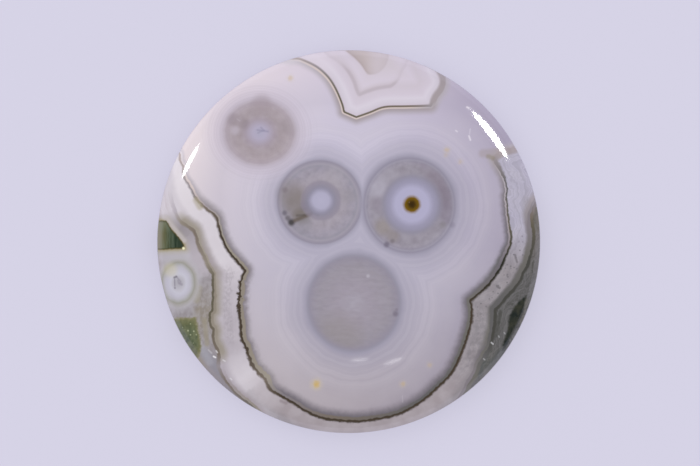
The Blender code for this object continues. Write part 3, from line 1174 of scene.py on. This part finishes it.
def small_orb(g, under, place):
    distance = orb_distance(g, place, Orb(178.3, 283.0, 0.0, 18.2, 0.803))
    distance = g.use(RAGGED, "Distance", Distance=distance, Place=place, Size=9.0, Amount=1.4)
    colour = g.overlay(under, distance, [
        (0.0, (182, 179, 188), 1.0), (6.0, (190, 187, 197), 1.0), (9.0, (197, 195, 208), 1.0),
        (12.0, (191, 188, 202), 1.0), (14.5, (184, 181, 191), 1.0), (16.5, (172, 170, 171), 1.0),
        (18.2, (156, 154, 147), 1.0), (20.0, (170, 166, 164), 0.9), (22.5, (182, 178, 184), 0.7),
        (28.0, (182, 178, 186), 0.0),
    ])
    colour = dab(g, colour, place, 170.5, 270.0, 3.0, 7.0, (204, 197, 170), 0.5)
    colour = dab(g, colour, place, 178.5, 282.5, 1.5, 7.0, (164, 160, 170), 0.5)
    return strokes(g, colour, place, [
        (174.4, 277.6, 176.2, 276.6, 0.3, 1.5, (96, 92, 104), 0.65),
        (176.8, 277.0, 180.6, 281.6, 0.1, 1.3, (128, 122, 136), 0.45),
        (174.6, 279.5, 174.8, 285.6, 0.1, 1.1, (116, 110, 124), 0.55),
        (174.8, 287.4, 175.0, 288.2, 0.3, 1.2, (110, 104, 116), 0.55),
        (180.0, 283.4, 181.6, 284.4, 0.4, 1.8, (136, 130, 144), 0.50),
        (178.0, 280.6, 178.8, 283.0, 0.2, 1.4, (140, 134, 148), 0.45),
    ])


def wedge(g, under, place):
    """The dark green wedge by the left rim, with its upright fibres and ochre edge."""
    edge = ragged(g, place, "green_wedge", 3.0, 0.7)
    fibres = cloud(g, place, 2.6, stretch=(1.0, 0.14, 1.0), detail=4.0)
    x, y, _ = g.parts(place)
    ground, _ = g.ramp(x, [
        (157.0, (146, 136, 120)), (161.0, (124, 118, 94)), (165.0, (92, 92, 62)), (169.5, (62, 72, 52)),
        (175.0, (40, 54, 40)), (185.0, (30, 42, 32)),
    ])
    pale = g.span(y, 234.0, 221.0, 0.0, 0.45)
    ground = g.mix(pale, ground, (134, 136, 118))
    ground = g.mix(g.times(fibres, g.span(x, 183.0, 166.0, 0.15, 0.5)), ground, (112, 124, 106))
    ground = g.overlay(ground, edge, [
        (0.0, (116, 104, 64), 0.9), (1.1, (70, 66, 40), 0.6), (2.4, (50, 58, 40), 0.0),
    ])
    around = g.overlay(under, edge, [
        (-7.0, (180, 173, 162), 0.0), (-3.0, (178, 170, 150), 0.4), (-1.2, (168, 158, 122), 0.7),
        (0.0, (146, 134, 96), 0.8),
    ])
    around = stroke(g, around, place, 164.7, 217.4, 184.0, 240.5, 0.8, 3.0, (198, 190, 194), 0.6)
    colour = g.mix(g.span(edge, -0.6, 0.6), around, ground)
    # Painted glint: a bright yellow-white highlight at the wedge's lower corner.
    return dab(g, colour, place, 183.5, 248.3, 0.6, 1.4, (240, 236, 196), 1.0)


def green(g, under, place):
    """The mossy green patch lower down the left rim."""
    edge = ragged(g, place, "green_patch", 4.0, 2.4)
    x, y, _ = g.parts(place)
    ground, _ = g.ramp(y, [
        (317.0, (132, 128, 98)), (323.0, (106, 108, 76)), (332.0, (86, 97, 74)), (343.0, (88, 97, 74)),
        (356.0, (118, 110, 78)),
    ])
    slant = g.math("ADD", x, g.times(y, -0.55))
    ground = g.mix(g.span(slant, 6.0, -4.0, 0.0, 0.75), ground, (66, 76, 72))
    ground = mottle(g, ground, place, 5.0, (66, 78, 56), (136, 138, 106), 0.45, (1.2, 0.7, 1.0))
    flecks = g.use(FLECK, "Mask", Place=place, Size=2.8, Share=0.22)
    ground = g.mix(g.times(flecks, 0.6), ground, (190, 194, 160))
    ground = g.overlay(ground, edge, [
        (0.0, (142, 136, 104), 0.8), (2.5, (122, 120, 84), 0.4), (5.0, (100, 108, 80), 0.0),
    ])
    return g.mix(g.span(edge, -1.4, 1.4), under, ground)


def right_rim(g, under, place):
    """The grey-green banded ground between the right contour and the rim, with its dark patch."""
    contour = ragged(g, place, "right_contour", 6.0, 1.5)
    colour = outer_side(g, contour, "right_contour")
    colour = g.mix(g.times(streaks(g, place, contour, 3.2, 26.0), 0.45), colour, (66, 66, 62))
    colour = g.mix(g.times(streaks(g, place, contour, 2.6, 20.0), 0.32), colour, (134, 132, 134))
    colour = mottle(g, colour, place, 6.0, (70, 70, 66), (128, 126, 128), 0.16)
    colour = strokes(g, colour, place, [
        (500.3, 311.8, 498.9, 322.5, 0.5, 2.2, (74, 74, 70), 0.65),
        (498.9, 322.5, 496.5, 336.0, 0.5, 2.2, (74, 74, 70), 0.60),
        (531.0, 205.0, 536.0, 228.0, 2.0, 5.0, (96, 92, 76), 0.45),
        (484.0, 352.0, 478.0, 372.0, 2.0, 6.0, (76, 84, 86), 0.45),
        (503.0, 352.0, 490.0, 366.0, 2.0, 5.0, (66, 74, 74), 0.40),
        (526.0, 300.0, 521.0, 322.0, 0.6, 2.6, (104, 100, 88), 0.50),
    ])
    edge = ragged(g, place, "dark_patch", 4.0, 1.8)
    blots = cloud(g, place, 6.0, stretch=(1.2, 0.6, 1.0), detail=4.0)
    dark = g.mix(blots, (60, 60, 50), (28, 36, 34))
    colour = g.mix(g.span(edge, -2.0, 1.2), colour, dark)
    colour = g.mix(g.span(contour, -0.6, 0.6), colour, under)
    colour = draw_seam(g, colour, contour, "right_contour")
    # Painted glints: small white flecks where light catches pits and fine fractures by the dark patch.
    colour = strokes(g, colour, place, [
        (491.4, 342.6, 493.0, 344.0, 0.1, 1.2, (216, 216, 220), 0.65),
        (483.6, 358.8, 484.8, 359.8, 0.1, 1.0, (200, 200, 204), 0.50),
        (498.6, 336.0, 499.2, 337.2, 0.1, 1.0, (196, 196, 200), 0.45),
        (504.2, 332.6, 505.0, 333.8, 0.1, 1.0, (196, 196, 200), 0.45),
    ])
    return outside_only(g, under, colour)


def main_seam(g, under, place):
    return draw_seam(g, under, ragged_wall(g, place), "main_wall")


def dust(g, under, place):
    """White specks of dust on the polish, and pinkish blurs where the wall meets the rim."""
    colour = strokes(g, under, place, [
        (483.0, 153.5, 500.0, 152.0, 1.6, 5.0, (166, 154, 156), 0.55),
        (500.0, 152.0, 519.0, 148.0, 1.0, 4.0, (170, 158, 162), 0.60),
        (488.0, 156.5, 493.0, 158.0, 0.6, 3.0, (146, 136, 118), 0.55),
        (433.0, 104.0, 440.0, 90.0, 1.0, 5.0, (172, 162, 164), 0.20),
        (196.0, 200.0, 200.0, 207.0, 1.0, 4.0, (168, 158, 132), 0.60),
    ])
    return strokes(g, colour, place, [
        (469.0, 136.0, 470.4, 140.0, 0.2, 1.3, (226, 220, 232), 0.80),
        (470.2, 129.0, 469.6, 134.0, 0.1, 1.0, (214, 208, 222), 0.50),
        (455.8, 130.6, 457.2, 131.6, 0.2, 1.1, (222, 216, 228), 0.70),
        (467.0, 107.2, 468.8, 108.0, 0.3, 1.3, (232, 226, 236), 0.80),
        (402.4, 396.0, 402.8, 402.0, 0.0, 0.9, (200, 192, 202), 0.35),
        (237.0, 119.0, 240.0, 121.0, 0.0, 0.9, (190, 180, 192), 0.40),
    ])


def ground_edge(g, place):
    """1 on the girdle and the back's bevel, which are ground and not polished."""
    _, _, depth = g.parts(place)
    return g.window(depth, 0.4, 1.6, 20.0, 23.0)


# Painted shade: the girdle and the back's bevel are darkened a little, so the rim shows as a darker line from
# above.
def girdle(g, under, place):
    return g.mix(g.times(ground_edge(g, place), 0.20), under, (126, 122, 132))


LAYERS = [
    body, top_left_orb, mid_left_orb, right_orb, bottom_orb, back_orbs, yellow_dots, cap, cap_seam,
    outside, left_rim, right_rim, main_seam, dust, girdle,
]


def layer_group(paint):
    """A node group that lays one feature of the stone over the colour under it."""
    name = paint.__name__.replace("_", " ")
    g, given, out = new_group(name, {"Under": COLOUR, "Place": VECTOR}, {"Colour": COLOUR})
    g.feed(out["Colour"], paint(g, given["Under"], given["Place"]))
    return g.tree


def polished_jasper():
    groups = [layer_group(paint) for paint in LAYERS]
    material = bpy.data.materials.new("polished_jasper")
    material.use_nodes = True
    g = Graph(material.node_tree)
    place = g.triple("pattern")
    polish = g.math("ADD", 0.06, g.times(cloud(g, place, 60.0), 0.02))
    roughness = g.mix_numbers(ground_edge(g, place), polish, 0.32)
    colour = g.colour("body_tint")
    for group in groups:
        colour = g.use(group, "Colour", Under=colour, Place=place)
    shader = material.node_tree.nodes["Principled BSDF"]
    shader.inputs["IOR"].default_value = 1.54
    g.feed(shader.inputs["Roughness"], roughness)
    g.feed(shader.inputs["Base Color"], colour)
    return material


# The floor's brightness comes partly from its own glow, which keeps the stone's shadow faint.
FLOOR_TINT = (213, 210, 229)
FLOOR_GLOW = 0.70
FLOOR_PAINT = 0.30


def floor_paint():
    material = bpy.data.materials.new("pale_floor")
    material.use_nodes = True
    shader = material.node_tree.nodes["Principled BSDF"]
    *tint, opaque = linear(FLOOR_TINT)
    shader.inputs["Base Color"].default_value = (*(FLOOR_PAINT * channel for channel in tint), opaque)
    shader.inputs["Emission Color"].default_value = (*tint, opaque)
    shader.inputs["Emission Strength"].default_value = FLOOR_GLOW
    shader.inputs["Roughness"].default_value = 0.9
    shader.inputs["Specular IOR Level"].default_value = 0.0
    return material


def pale_floor():
    bm = bmesh.new()
    bmesh.ops.create_grid(bm, x_segments=1, y_segments=1, size=3.0)
    mesh = bpy.data.meshes.new("floor")
    bm.to_mesh(mesh)
    bm.free()
    mesh.materials.append(floor_paint())
    floor = bpy.data.objects.new("floor", mesh)
    bpy.context.scene.collection.objects.link(floor)


AMBIENT = 0.96
ZENITH_GLOSS = 0.08
HORIZON_GLOSS = 0.14


def studio_world():
    """Even soft light, which the polish mirrors only dimly, as in a dark studio with large soft boxes."""
    world = bpy.data.worlds.new("studio")
    bpy.context.scene.world = world
    world.use_nodes = True
    g = Graph(world.node_tree)
    background = world.node_tree.nodes["Background"]
    _, _, height = g.parts(g.add("ShaderNodeTexCoord").outputs["Generated"])
    gloss = g.span(height, 0.05, 0.6, HORIZON_GLOSS, ZENITH_GLOSS)
    rays = g.add("ShaderNodeLightPath")
    strength = g.mix_numbers(rays.outputs["Is Glossy Ray"], AMBIENT, gloss)
    strength = g.mix_numbers(rays.outputs["Is Camera Ray"], strength, 1.0)
    g.feed(background.inputs["Color"], g.mix(rays.outputs["Is Camera Ray"], (255, 255, 255), FLOOR_TINT))
    g.feed(background.inputs["Strength"], strength)


# The lamps: two low soft boxes and two small strips that only the polish mirrors, as the bright crescents
# near the rim and the short streaks low on the dome, and a large soft key from the upper left that lights
# the stone's colours. slope is the angle from straight up.
Lamp = namedtuple("Lamp", "name azimuth slope distance width height power mirrored")
LAMPS = [
    Lamp("right_softbox", 36.9, 72.4, 0.60, 0.180, 0.106, 4.0, True),
    Lamp("left_softbox", 153.2, 70.6, 0.60, 0.104, 0.054, 0.9, True),
    Lamp("left_strip", 275.2, 29.5, 0.60, 0.044, 0.009, 0.0045, True),
    Lamp("right_strip", 290.3, 32.9, 0.60, 0.050, 0.012, 0.0075, True),
    Lamp("soft_key", 135.0, 40.0, 1.00, 0.90, 0.90, 1.2, False),
]


def soft_box(lamp):
    """An oval lamp aimed at the stone."""
    light = bpy.data.lights.new(lamp.name, "AREA")
    light.shape = "ELLIPSE"
    light.size = lamp.height
    light.size_y = lamp.width
    light.energy = lamp.power
    obj = bpy.data.objects.new(lamp.name, light)
    bpy.context.scene.collection.objects.link(obj)
    obj.visible_diffuse = not lamp.mirrored
    obj.visible_glossy = lamp.mirrored
    turn, slope = math.radians(lamp.azimuth), math.radians(lamp.slope)
    obj.rotation_euler = (0.0, slope, turn)
    obj.location = (
        lamp.distance * math.sin(slope) * math.cos(turn),
        lamp.distance * math.sin(slope) * math.sin(turn),
        lamp.distance * math.cos(slope),
    )


def overhead_camera():
    data = bpy.data.cameras.new("camera")
    data.lens = LENS_MM
    data.sensor_width = SENSOR_MM
    data.clip_start = 0.01
    camera = bpy.data.objects.new("camera", data)
    camera.location = camera_place()
    bpy.context.scene.collection.objects.link(camera)
    bpy.context.scene.camera = camera


def main():
    bpy.context.scene.view_settings.view_transform = "Standard"
    overhead_camera()
    studio_world()
    for lamp in LAMPS:
        soft_box(lamp)
    pale_floor()

    stone = turned_stone()
    lay_out_pattern(stone)
    unwrap_stone(stone)
    stone.data.materials.append(polished_jasper())
    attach(stone, "root")
    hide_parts("cabochon")


main()
